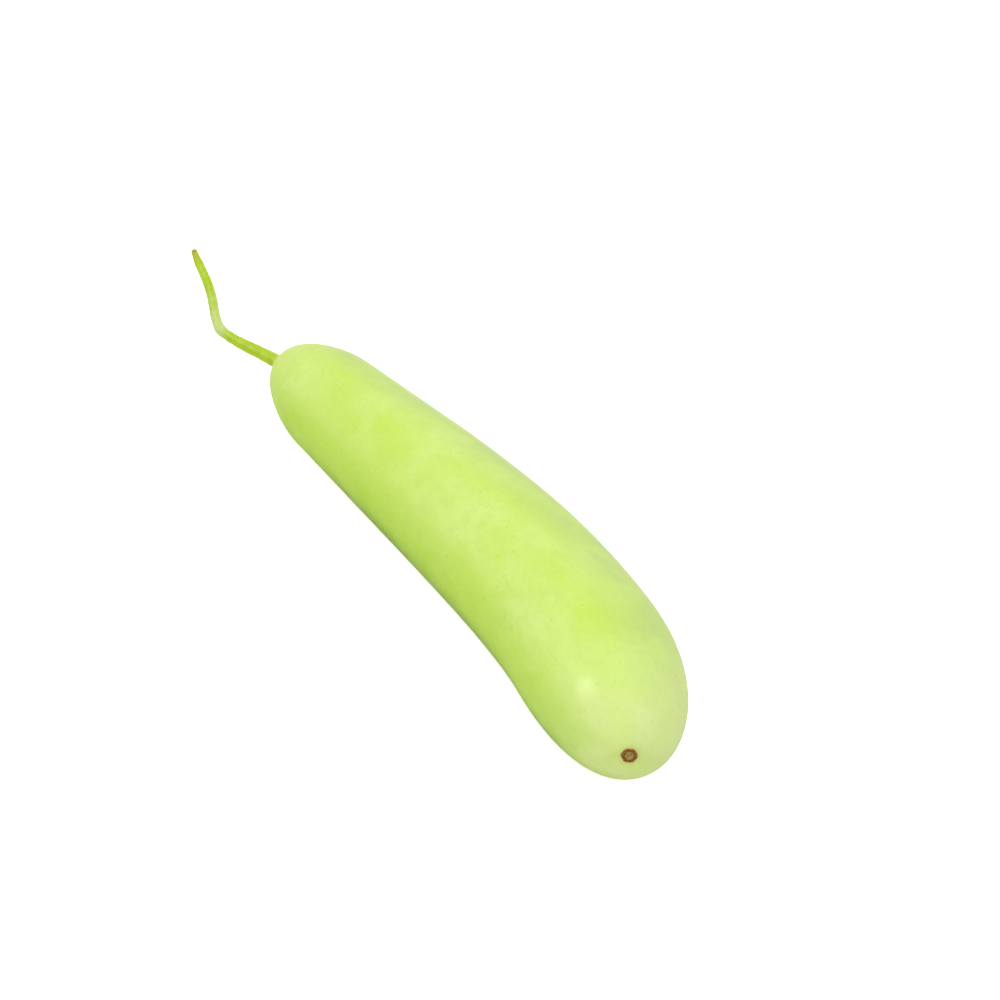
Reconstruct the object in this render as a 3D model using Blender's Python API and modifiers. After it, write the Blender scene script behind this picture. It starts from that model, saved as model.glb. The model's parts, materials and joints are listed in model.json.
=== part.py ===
"""Bottle gourd lying on its side: the fruit, its kinked stem and the dry scar that the flower left.

The fruit runs along +X from its stem end to its blossom end and bends a little towards -Y there.
+Z is up, and the origin is the middle of the narrow flat that the fruit rests on. Sizes are in
metres, angles in degrees, and a place along the fruit is u, from 0 at the stem end to 1.
"""

import math
from dataclasses import dataclass

import bmesh
import bpy
import numpy as np
from mathutils import Matrix, Vector

# Fruit, measured along its bent middle line
FRUIT_LENGTH = 0.440
BELLY_RADIUS = 0.038
NECK_RADIUS = 0.0284
BELLY_AT = 0.68
SWELL_POWER = 0.71
STEM_DOME = 0.065
STEM_DOME_POWER = 1.87
BLOSSOM_DOME = 0.090
BLOSSOM_DOME_POWER = 2.26

# Bend of the middle line, seen from above and from the side
STEM_HEADING = 2.9
BLOSSOM_HEADING = -29.5
HEADING_POWER = 4.94
STEM_LIFT = 0.0005
BLOSSOM_LIFT = 0.0035
ROCK = 0.0005

# Resting flat under the weight
REST_AT = 0.54
FLAT_DEPTH = 0.0004

# Hollows at the two ends
PIT_DEPTH = 0.0012
PIT_WIDTH = 0.010
DIMPLE_DEPTH = 0.0008
DIMPLE_WIDTH = 0.007

# Stem: a ribbed stalk that leaves just beside the fruit's tip, then turns up at a kink
STEM_ASIDE = 0.003
STEM_LEAN = 16.0
STEM_ROOT_RADIUS = 0.0037
STEM_COLLAR_RADIUS = 0.0035
STEM_RADIUS = 0.0027
STEM_KINK_RADIUS = 0.0030
STEM_BOW_RADIUS = 0.0025
STEM_TAPER_RADIUS = 0.0023
STEM_TIP_RADIUS = 0.0013
STEM_NECK = 0.002
STEM_COLLAR = 0.012
STEM_KINK = Vector((-0.0539, -0.0212, 0.0013))
STEM_BOW = Vector((-0.0777, -0.0167, 0.0171))
STEM_END = Vector((-0.1033, -0.0167, 0.0331))
STEM_KINK_ROUNDING = 0.007
STEM_TIP_TAPER = 0.010
STEM_RIBS = 5
STEM_RIB_SHARE = 0.06
STEM_TWIST = 35.0
SOCKET_DEPTH = 0.004

# Blossom scar: a corky disc with a raised rim, let into the blossom end
SCAR_RADIUS = 0.0038
SCAR_EDGE_HEIGHT = 0.0006
SCAR_RIM_HEIGHT = 0.0012
SCAR_FLOOR_HEIGHT = 0.0007
SCAR_NUB_HEIGHT = 0.0010
SCAR_NUB_RADIUS = 0.0007
SCAR_NUB_FOOT = 0.0013
SCAR_RIM_FOOT = 0.0024
SCAR_RIM_CREST = 0.0032
RECESS_DEPTH = 0.0009

# Colours, as linear red, green and blue
SKIN_COLOUR = (0.46, 0.68, 0.17)
STEM_COLOUR = (0.42, 0.60, 0.06)
SCAR_COLOUR = (0.30, 0.20, 0.07)

# Clearance between touching pieces, and how finely each one is cut
GAP = 0.0003
PROFILE_RADIUS = 0.001
FRUIT_RINGS = 56
FRUIT_SIDES = 40
STEM_SIDES = 20
STEM_RESOLUTION = 5
SCAR_SIDES = 32
CUTTER_SIDES = 40
MIDDLE_LINE_STEPS = 400
CUTTER_REACH = 0.02
MERGE = 0.00001


@dataclass(frozen=True)
class Section:
    """One cross-section of the fruit: its centre, its three directions and its radius."""

    centre: Vector
    along: Vector
    side: Vector
    above: Vector
    radius: float


def heading(u):
    """Direction of the middle line seen from above, in radians from +X."""
    return np.radians(STEM_HEADING + (BLOSSOM_HEADING - STEM_HEADING) * u**HEADING_POWER)


def middle_line():
    """Places u along the middle line with its x and y, which are 0 above the resting flat."""
    u = np.linspace(0.0, 1.0, MIDDLE_LINE_STEPS + 1)
    line = [u]
    for part in (np.cos(heading(u)), np.sin(heading(u))):
        steps = 0.5 * (part[1:] + part[:-1]) * FRUIT_LENGTH / MIDDLE_LINE_STEPS
        run = np.concatenate([[0.0], np.cumsum(steps)])
        line.append(run - np.interp(REST_AT, u, run))
    return line


LINE_U, LINE_X, LINE_Y = middle_line()


def dome(distance, length):
    """1 at the tip of a rounded end, falling to 0 where the end meets the body."""
    return min(max(1.0 - distance / length, 0.0), 1.0)


def full_radius(u):
    """Radius of the body as it swells from neck to belly, without its rounded ends."""
    swell = min(u / BELLY_AT, 1.0)
    swell = (swell * swell * (3.0 - 2.0 * swell)) ** SWELL_POWER
    return NECK_RADIUS + (BELLY_RADIUS - NECK_RADIUS) * swell


def section(u):
    """Cross-section of the fruit at u."""
    stem_dome = dome(u * FRUIT_LENGTH, STEM_DOME)
    blossom_dome = dome((1.0 - u) * FRUIT_LENGTH, BLOSSOM_DOME)
    lift = STEM_LIFT * stem_dome**2 + BLOSSOM_LIFT * blossom_dome**2 + ROCK * (2.0 * (u - REST_AT)) ** 2
    slope = (
        2.0 * BLOSSOM_LIFT * blossom_dome / BLOSSOM_DOME
        - 2.0 * STEM_LIFT * stem_dome / STEM_DOME
        + 8.0 * ROCK * (u - REST_AT) / FRUIT_LENGTH
    )
    turn = heading(u)
    along = Vector((math.cos(turn), math.sin(turn), slope)).normalized()
    side = Vector((-math.sin(turn), math.cos(turn), 0.0))
    height = full_radius(u) + lift - FLAT_DEPTH
    centre = Vector((np.interp(u, LINE_U, LINE_X), np.interp(u, LINE_U, LINE_Y), height))
    stem_rounding = math.sqrt(1.0 - stem_dome**STEM_DOME_POWER)
    blossom_rounding = math.sqrt(1.0 - blossom_dome**BLOSSOM_DOME_POWER)
    radius = full_radius(u) * stem_rounding * blossom_rounding
    return Section(centre, along, side, along.cross(side), radius)


def skin_point(unit):
    """Point of the skin for a point of the unit sphere, whose -Z pole is the stem end."""
    u = min(max(0.5 * (1.0 + unit.z), 0.0), 1.0)
    at = section(u)
    angle = math.atan2(unit.y, unit.x)
    outward = at.side * math.cos(angle) + at.above * math.sin(angle)
    if u < 0.5:
        sunk = PIT_DEPTH * math.exp(-((at.radius / PIT_WIDTH) ** 2))
    else:
        sunk = -DIMPLE_DEPTH * math.exp(-((at.radius / DIMPLE_WIDTH) ** 2))
    return at.centre + outward * at.radius + at.along * sunk


def end_frame(u, outward_sign, sunk):
    """Matrix at an end of the fruit, sunk below its tip, with +Z pointing out of the fruit."""
    at = section(u)
    out = at.along * outward_sign
    axes = Matrix((at.side, out.cross(at.side), out)).transposed().to_4x4()
    return Matrix.Translation(at.centre - out * sunk) @ axes


def stem_frame():
    """Matrix of the stem's root: beside the fruit's tip, and leaning over to that side."""
    lean = Matrix.Rotation(-math.radians(STEM_LEAN), 4, "Y")
    return end_frame(0.0, -1.0, PIT_DEPTH) @ Matrix.Translation((-STEM_ASIDE, 0.0, 0.0)) @ lean


def clear_scene():
    for obj in list(bpy.data.objects):
        bpy.data.objects.remove(obj, do_unlink=True)


def new_collection(name):
    collection = bpy.data.collections.new(name)
    bpy.context.scene.collection.children.link(collection)
    return collection


def new_material(name, colour, roughness):
    material = bpy.data.materials.new(name)
    material.use_nodes = True
    shader = material.node_tree.nodes["Principled BSDF"]
    shader.inputs["Base Color"].default_value = (*colour, 1.0)
    shader.inputs["Roughness"].default_value = roughness
    shader.inputs["Metallic"].default_value = 0.0
    material.diffuse_color = (*colour, 1.0)
    return material


def mesh_object(name, shape, collection):
    """Object from a bmesh, which is freed."""
    mesh = bpy.data.meshes.new(name)
    shape.to_mesh(mesh)
    shape.free()
    obj = bpy.data.objects.new(name, mesh)
    collection.objects.link(obj)
    return obj


def mark_as_guide(obj):
    obj.hide_render = True
    obj.display_type = "WIRE"


def drum_cutter(name, frame, radius, depth, collection):
    """Cylinder that cuts a round hole to this depth below the frame's origin."""
    shape = bmesh.new()
    height = depth + CUTTER_REACH
    bmesh.ops.create_cone(
        shape, cap_ends=True, segments=CUTTER_SIDES, radius1=radius, radius2=radius, depth=height
    )
    cutter = mesh_object(name, shape, collection)
    cutter.matrix_world = frame @ Matrix.Translation((0.0, 0.0, 0.5 * height - depth))
    mark_as_guide(cutter)
    return cutter


def floor_cutter(collection):
    """Box below the surface that the fruit lies on."""
    shape = bmesh.new()
    bmesh.ops.create_cube(shape, size=2.0 * FRUIT_LENGTH)
    cutter = mesh_object("floor_cutter", shape, collection)
    cutter.location = (0.0, 0.0, -FRUIT_LENGTH)
    mark_as_guide(cutter)
    return cutter


def build_fruit(parts, cutters):
    """Fruit as one solid, with its flat, the stem's socket and the scar's recess cut out."""
    shape = bmesh.new()
    bmesh.ops.create_uvsphere(shape, u_segments=FRUIT_SIDES, v_segments=FRUIT_RINGS, radius=1.0)
    for vertex in shape.verts:
        vertex.co = skin_point(vertex.co)
    fruit = mesh_object("fruit", shape, parts)
    fruit.data.shade_smooth()
    fruit.data.materials.append(new_material("gourd_skin", SKIN_COLOUR, 0.42))
    blossom_end = end_frame(1.0, 1.0, DIMPLE_DEPTH)
    socket_radius = STEM_ROOT_RADIUS * (1.0 + STEM_RIB_SHARE) + GAP
    holes = (
        floor_cutter(cutters),
        drum_cutter("stem_socket_cutter", stem_frame(), socket_radius, SOCKET_DEPTH, cutters),
        drum_cutter("scar_recess_cutter", blossom_end, SCAR_RADIUS + GAP, RECESS_DEPTH, cutters),
    )
    for cutter in holes:
        cut = fruit.modifiers.new(cutter.name, "BOOLEAN")
        cut.operation = "DIFFERENCE"
        cut.solver = "EXACT"
        cut.object = cutter


def stem_profile(guides):
    """Outline of the stem, drawn clockwise: a small circle with shallow ribs."""
    curve = bpy.data.curves.new("stem_profile", "CURVE")
    curve.dimensions = "2D"
    spline = curve.splines.new("POLY")
    spline.points.add(STEM_SIDES - 1)
    spline.use_cyclic_u = True
    for index, point in enumerate(spline.points):
        angle = -2.0 * math.pi * index / STEM_SIDES
        reach = PROFILE_RADIUS * (1.0 + STEM_RIB_SHARE * math.cos(STEM_RIBS * angle))
        point.co = (reach * math.cos(angle), reach * math.sin(angle), 0.0, 1.0)
    profile = bpy.data.objects.new("stem_profile", curve)
    guides.objects.link(profile)
    mark_as_guide(profile)
    return profile


def stem_route():
    """Points of the stem's middle with the radius there, from its root to its cut tip."""
    frame = stem_frame()
    tip_of_fruit = section(0.0).centre
    kink = tip_of_fruit + STEM_KINK
    bow = tip_of_fruit + STEM_BOW
    end = tip_of_fruit + STEM_END
    collar = frame @ Vector((0.0, 0.0, STEM_COLLAR))
    before_kink = kink + (collar - kink).normalized() * STEM_KINK_ROUNDING
    after_kink = kink + (bow - kink).normalized() * STEM_KINK_ROUNDING
    rounded_kink = 0.5 * kink + 0.25 * (before_kink + after_kink)
    taper_start = end + (bow - end).normalized() * STEM_TIP_TAPER
    return (
        (frame @ Vector((0.0, 0.0, GAP - SOCKET_DEPTH)), STEM_ROOT_RADIUS),
        (frame @ Vector((0.0, 0.0, STEM_NECK)), STEM_ROOT_RADIUS),
        (collar, STEM_COLLAR_RADIUS),
        (before_kink, STEM_RADIUS),
        (rounded_kink, STEM_KINK_RADIUS),
        (after_kink, STEM_RADIUS),
        (bow, STEM_BOW_RADIUS),
        (taper_start, STEM_TAPER_RADIUS),
        (end, STEM_TIP_RADIUS),
    )


def build_stem(parts, guides):
    """Stem swept along its route with a ribbed outline that twists slowly."""
    curve = bpy.data.curves.new("stem", "CURVE")
    curve.dimensions = "3D"
    curve.twist_mode = "MINIMUM"
    curve.resolution_u = STEM_RESOLUTION
    curve.bevel_mode = "OBJECT"
    curve.bevel_object = stem_profile(guides)
    curve.use_fill_caps = True
    route = stem_route()
    spline = curve.splines.new("BEZIER")
    spline.bezier_points.add(len(route) - 1)
    for index, (point, (place, radius)) in enumerate(zip(spline.bezier_points, route)):
        point.co = place
        point.radius = radius / PROFILE_RADIUS
        point.tilt = math.radians(STEM_TWIST) * index / (len(route) - 1)
        point.handle_left_type = "AUTO"
        point.handle_right_type = "AUTO"
    stem = bpy.data.objects.new("stem", curve)
    parts.objects.link(stem)
    curve.materials.append(new_material("gourd_stem", STEM_COLOUR, 0.55))


def build_blossom_scar(parts):
    """Scar turned from half its section, then set into its recess."""
    outline = (
        (0.0, SCAR_NUB_HEIGHT),
        (SCAR_NUB_RADIUS, SCAR_NUB_HEIGHT),
        (SCAR_NUB_FOOT, SCAR_FLOOR_HEIGHT),
        (SCAR_RIM_FOOT, SCAR_FLOOR_HEIGHT),
        (SCAR_RIM_CREST, SCAR_RIM_HEIGHT),
        (0.5 * (SCAR_RIM_CREST + SCAR_RADIUS), SCAR_RIM_HEIGHT),
        (SCAR_RADIUS, SCAR_EDGE_HEIGHT),
        (SCAR_RADIUS, 0.0),
        (0.0, 0.0),
    )
    shape = bmesh.new()
    corners = [shape.verts.new((radius, 0.0, height)) for radius, height in outline]
    for start, end in zip(corners, corners[1:]):
        shape.edges.new((start, end))
    scar = mesh_object("blossom_scar", shape, parts)
    scar.matrix_world = end_frame(1.0, 1.0, DIMPLE_DEPTH + RECESS_DEPTH - GAP)
    turn = scar.modifiers.new("turn", "SCREW")
    turn.axis = "Z"
    turn.steps = SCAR_SIDES
    turn.render_steps = SCAR_SIDES
    turn.use_merge_vertices = True
    turn.merge_threshold = MERGE
    turn.use_smooth_shade = True
    scar.data.materials.append(new_material("gourd_scar", SCAR_COLOUR, 0.85))


def main():
    clear_scene()
    parts = new_collection("bottle_gourd")
    helpers = new_collection("cutters")
    build_fruit(parts, helpers)
    build_stem(parts, helpers)
    build_blossom_scar(parts)
    bpy.context.view_layer.update()


main()
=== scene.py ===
"""Bottle gourd lying on its side, dressed with a fine skin, a ribbed downy stem and a corky scar.

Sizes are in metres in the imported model's frame: +X runs along the fruit from its stem end to its
blossom end, +Z is up, and the fruit rests on z = 0. A place along the fruit is u, from 0 at the
stem end to 1. The forms repeat the rules that the solids follow, and add the fine relief.
"""

import json
import logging
import math
from dataclasses import dataclass, field
from enum import Enum
from typing import Union

import bmesh
import bpy
import numpy as np
from mathutils import Matrix, Vector, noise

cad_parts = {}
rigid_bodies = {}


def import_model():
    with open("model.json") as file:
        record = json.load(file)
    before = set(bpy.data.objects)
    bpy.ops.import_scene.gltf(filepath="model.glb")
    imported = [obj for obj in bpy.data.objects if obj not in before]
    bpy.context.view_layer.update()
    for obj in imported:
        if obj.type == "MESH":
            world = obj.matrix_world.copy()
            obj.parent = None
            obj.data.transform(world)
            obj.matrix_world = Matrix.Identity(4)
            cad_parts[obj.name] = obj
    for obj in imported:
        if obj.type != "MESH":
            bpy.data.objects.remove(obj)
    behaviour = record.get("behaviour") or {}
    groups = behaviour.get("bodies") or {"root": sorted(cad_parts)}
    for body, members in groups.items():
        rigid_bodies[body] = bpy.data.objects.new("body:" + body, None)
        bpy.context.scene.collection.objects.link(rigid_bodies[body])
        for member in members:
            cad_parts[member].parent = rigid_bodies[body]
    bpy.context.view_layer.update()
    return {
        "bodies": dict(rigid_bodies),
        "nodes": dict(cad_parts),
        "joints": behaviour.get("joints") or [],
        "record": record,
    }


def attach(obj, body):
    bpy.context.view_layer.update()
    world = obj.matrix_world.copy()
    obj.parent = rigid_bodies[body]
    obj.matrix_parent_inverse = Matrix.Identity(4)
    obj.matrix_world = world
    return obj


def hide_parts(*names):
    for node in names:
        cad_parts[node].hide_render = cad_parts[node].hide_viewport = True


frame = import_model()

BODY = "root"
MERGE = 0.000002

log = logging.getLogger("bottle_gourd")

Socket = bpy.types.NodeSocket
Value = Union[Socket, float, tuple, Vector, str, bpy.types.Material]
Colour = tuple[float, float, float]
Pair = tuple[float, float]
Triple = tuple[float, float, float]


class End(Enum):
    """The two ends of the fruit, each with its place along the middle line."""

    STEM = 0.0
    BLOSSOM = 1.0

    @property
    def outward(self) -> float:
        """+1 where the middle line points out of the fruit, and -1 where it points into it."""
        return 2.0 * self.value - 1.0


class Blotch(Enum):
    """Sizes of the soft blotches in a finish, as blotches per metre."""

    BROAD = 16.0
    MIDDLE = 55.0
    SMALL = 150.0
    FINE = 420.0


def screen(red: int, green: int, blue: int) -> Colour:
    """Linear colour of a screen colour whose red, green and blue are given in 0 to 255."""
    shares = (red / 255.0, green / 255.0, blue / 255.0)
    return tuple(share / 12.92 if share < 0.04045 else ((share + 0.055) / 1.055) ** 2.4 for share in shares)


def bell(value: float, middle: float, width: float) -> float:
    """Smooth rise to 1 at the middle, and back to 0 on both sides of it."""
    return math.exp(-(((value - middle) / width) ** 2))


def place_in_collection(obj: bpy.types.Object) -> bpy.types.Object:
    """Links an object to the scene and returns it."""
    bpy.context.scene.collection.objects.link(obj)
    return obj


class Graph:
    """A node tree that nodes are added to in few words."""

    def __init__(self, tree: bpy.types.NodeTree) -> None:
        """Wraps a node tree."""
        self.tree = tree

    def feed(self, socket: Socket, value: Value) -> None:
        """Links a socket to another one, or gives it a plain value.

        Args:
            socket: The input that is fed.
            value: An output to link, or a plain value.
        """
        if isinstance(value, bpy.types.NodeSocket):
            self.tree.links.new(value, socket)
        elif socket.type == "RGBA":
            socket.default_value = (*value, 1.0)
        else:
            socket.default_value = value

    def add(self, kind: str, inputs: dict[Union[int, str], Value], **settings: object) -> bpy.types.Node:
        """Adds a node.

        Args:
            kind: Blender's name of the node.
            inputs: What feeds each input, by its name or number.
            **settings: The node's own settings.

        Returns:
            The new node.
        """
        node = self.tree.nodes.new(kind)
        for name, setting in settings.items():
            setattr(node, name, setting)
        for key, value in inputs.items():
            self.feed(node.inputs[key], value)
        return node

    def math(self, operation: str, *values: Value) -> Socket:
        """Result of a Math node on these values."""
        return self.add("ShaderNodeMath", dict(enumerate(values)), operation=operation).outputs[0]

    def times(self, *values: Value) -> Socket:
        """Product of two or more values."""
        product = values[0]
        for value in values[1:]:
            product = self.math("MULTIPLY", product, value)
        return product

    def total(self, *values: Value) -> Socket:
        """Sum of two or more values."""
        result = values[0]
        for value in values[1:]:
            result = self.math("ADD", result, value)
        return result

    def vector(self, operation: str, *values: Value) -> Socket:
        """Vector that a Vector Math node gives."""
        node = self.add("ShaderNodeVectorMath", dict(enumerate(values)), operation=operation)
        return node.outputs["Vector"]

    def measure(self, operation: str, *values: Value) -> Socket:
        """Number that a Vector Math node gives, such as a distance or a dot product."""
        node = self.add("ShaderNodeVectorMath", dict(enumerate(values)), operation=operation)
        return node.outputs["Value"]

    def scaled(self, vector: Value, factor: Value) -> Socket:
        """A vector times a number."""
        node = self.add("ShaderNodeVectorMath", {0: vector, "Scale": factor}, operation="SCALE")
        return node.outputs["Vector"]

    def parts(self, vector: Socket) -> list[Socket]:
        """The x, y and z of a vector."""
        return list(self.add("ShaderNodeSeparateXYZ", {0: vector}).outputs)

    def joined(self, x: Value, y: Value, z: Value) -> Socket:
        """A vector from its x, y and z."""
        return self.add("ShaderNodeCombineXYZ", {0: x, 1: y, 2: z}).outputs[0]

    def between(self, value: Value, low: Value, high: Value) -> Socket:
        """Smooth step from 0 at low to 1 at high, which may be less than low."""
        inputs = {0: value, 1: low, 2: high}
        return self.add("ShaderNodeMapRange", inputs, interpolation_type="SMOOTHSTEP").outputs[0]

    def spread(self, value: Value, low: Value, high: Value) -> Socket:
        """A number from 0 to 1 taken to between low and high."""
        return self.add("ShaderNodeMapRange", {0: value, 3: low, 4: high}).outputs[0]

    def varied(self, mask: Value, mottling: Value, strength: Pair) -> Socket:
        """A mask times the first strength where the mottling is 0, and the second where it is 1."""
        return self.times(mask, self.spread(mottling, *strength))

    def clouds(self, place: Value, scale: Value, seed: Value = 0.0, detail: float = 2.0) -> Socket:
        """Soft noise of about 0 to 1. The scale is in clouds per metre."""
        inputs = {"Vector": place, "W": seed, "Scale": scale, "Detail": detail}
        return self.add("ShaderNodeTexNoise", inputs, noise_dimensions="4D").outputs[0]

    def bumps(self, place: Value, scale: Value, seed: Value, detail: float, height: Value) -> Socket:
        """Soft noise round 0, which reaches about half the height each way."""
        return self.times(self.math("SUBTRACT", self.clouds(place, scale, seed, detail), 0.5), height)

    def mixed(self, factor: Value, low: Value, high: Value) -> Socket:
        """Colour between two colours."""
        inputs = {0: factor, 6: low, 7: high}
        return self.add("ShaderNodeMix", inputs, data_type="RGBA").outputs[2]


class Group(Graph):
    """A node group with named inputs and outputs."""

    def __init__(self, name: str, kind: str = "ShaderNodeTree") -> None:
        """Starts an empty group.

        Args:
            name: Name of the group.
            kind: Blender's name of the kind of tree.
        """
        super().__init__(bpy.data.node_groups.new(name, kind))
        self.entry = self.tree.nodes.new("NodeGroupInput")
        self.exit = self.tree.nodes.new("NodeGroupOutput")
        self.names: dict[str, str] = {}

    def take(self, name: str, kind: str = "Float", value: Value = None) -> Socket:
        """Adds an input.

        Args:
            name: Name of the input.
            kind: What it takes, such as Float or Vector.
            value: Its value where nothing feeds it.

        Returns:
            The socket inside the group that gives the value.
        """
        made = self.tree.interface.new_socket(name, in_out="INPUT", socket_type="NodeSocket" + kind)
        if value is not None:
            made.default_value = value
        self.names[name] = made.identifier
        return self.entry.outputs[name]

    def give(self, name: str, value: Socket, kind: str = "Float") -> None:
        """Adds an output that gives this value."""
        self.tree.interface.new_socket(name, in_out="OUTPUT", socket_type="NodeSocket" + kind)
        self.tree.links.new(value, self.exit.inputs[name])


class FormTree(Group):
    """A Geometry Nodes tree that turns a guide object into a finished piece."""

    def __init__(self, name: str) -> None:
        """Starts the tree with its geometry and its finish as inputs."""
        super().__init__(name, "GeometryNodeTree")
        self.guide = self.take("Guide", "Geometry")
        self.finish = self.take("Finish", "Material")
        self.sizes: dict[str, Value] = {}

    def size(self, name: str, value: Value, kind: str = "Float") -> Socket:
        """Adds an input, and keeps the value that the piece is grown with."""
        self.sizes[name] = tuple(value) if kind == "Vector" else value
        return self.take(name, kind)

    def attribute(self, name: str) -> Socket:
        """A number that is stored on the geometry under this name."""
        return self.add("GeometryNodeInputNamedAttribute", {"Name": name}, data_type="FLOAT").outputs[0]

    def stored(self, geometry: Socket, name: str, value: Value) -> Socket:
        """Geometry with a number stored on its points under this name."""
        inputs = {"Geometry": geometry, "Name": name, "Value": value}
        node = self.add("GeometryNodeStoreNamedAttribute", inputs, data_type="FLOAT", domain="POINT")
        return node.outputs[0]

    def moved(self, geometry: Socket, offset: Value) -> Socket:
        """Geometry with its points moved by an offset."""
        return self.add("GeometryNodeSetPosition", {"Geometry": geometry, "Offset": offset}).outputs[0]

    def normal(self) -> Socket:
        """Direction that the surface faces."""
        return self.tree.nodes.new("GeometryNodeInputNormal").outputs[0]

    def position(self) -> Socket:
        """Place of each point."""
        return self.tree.nodes.new("GeometryNodeInputPosition").outputs[0]

    def swept(self, line: Socket, ring: Socket) -> Socket:
        """Surface of a ring that is swept along a line, as wide as the line's girth.

        Args:
            line: The line, with girth stored on it.
            ring: The ring, with a radius of 1.

        Returns:
            The surface, with its points joined where it narrows to a tip.
        """
        inputs = {"Curve": line, "Profile Curve": ring, "Scale": self.attribute("girth")}
        surface = self.add("GeometryNodeCurveToMesh", inputs).outputs[0]
        return self.add("GeometryNodeMergeByDistance", {"Geometry": surface, "Distance": MERGE}).outputs[0]

    def close(self, geometry: Socket) -> None:
        """Ends the tree: instances made real, smooth shading and the finish."""
        real = self.add("GeometryNodeRealizeInstances", {"Geometry": geometry}).outputs[0]
        smooth = self.add("GeometryNodeSetShadeSmooth", {"Geometry": real}).outputs[0]
        dressed = self.add("GeometryNodeSetMaterial", {"Geometry": smooth, "Material": self.finish})
        self.give("Piece", dressed.outputs[0], "Geometry")

    def grow(self, guide: bpy.types.Object, name: str, finish: bpy.types.Material) -> bpy.types.Object:
        """Makes the piece as a plain mesh, and removes the guide.

        Args:
            guide: Mesh object that the tree starts from.
            name: Name of the finished piece.
            finish: Its material.

        Returns:
            The finished piece, with no modifier left on it.
        """
        modifier = guide.modifiers.new(self.tree.name, "NODES")
        modifier.node_group = self.tree
        for key, value in {"Finish": finish, **self.sizes}.items():
            modifier[self.names[key]] = value
        view = bpy.context.evaluated_depsgraph_get()
        mesh = bpy.data.meshes.new_from_object(guide.evaluated_get(view))
        mesh.name = name
        bpy.data.objects.remove(guide, do_unlink=True)
        return place_in_collection(bpy.data.objects.new(name, mesh))


def guide_line(name: str, points: list[Vector], numbers: dict[str, list[float]]) -> bpy.types.Object:
    """Line of points and edges that a tree sweeps a piece along.

    Args:
        name: Name of the object.
        points: The line's points.
        numbers: Numbers stored on the points, by their name.

    Returns:
        The line's object.
    """
    mesh = bpy.data.meshes.new(name)
    mesh.from_pydata(points, [(i, i + 1) for i in range(len(points) - 1)], [])
    for key, values in numbers.items():
        mesh.attributes.new(key, "FLOAT", "POINT").data.foreach_set("value", values)
    return place_in_collection(bpy.data.objects.new(name, mesh))


@dataclass(frozen=True)
class Section:
    """One cross-section: its centre, its directions along the fruit and to the side, its radius."""

    centre: Vector
    along: Vector
    side: Vector
    radius: float


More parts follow.
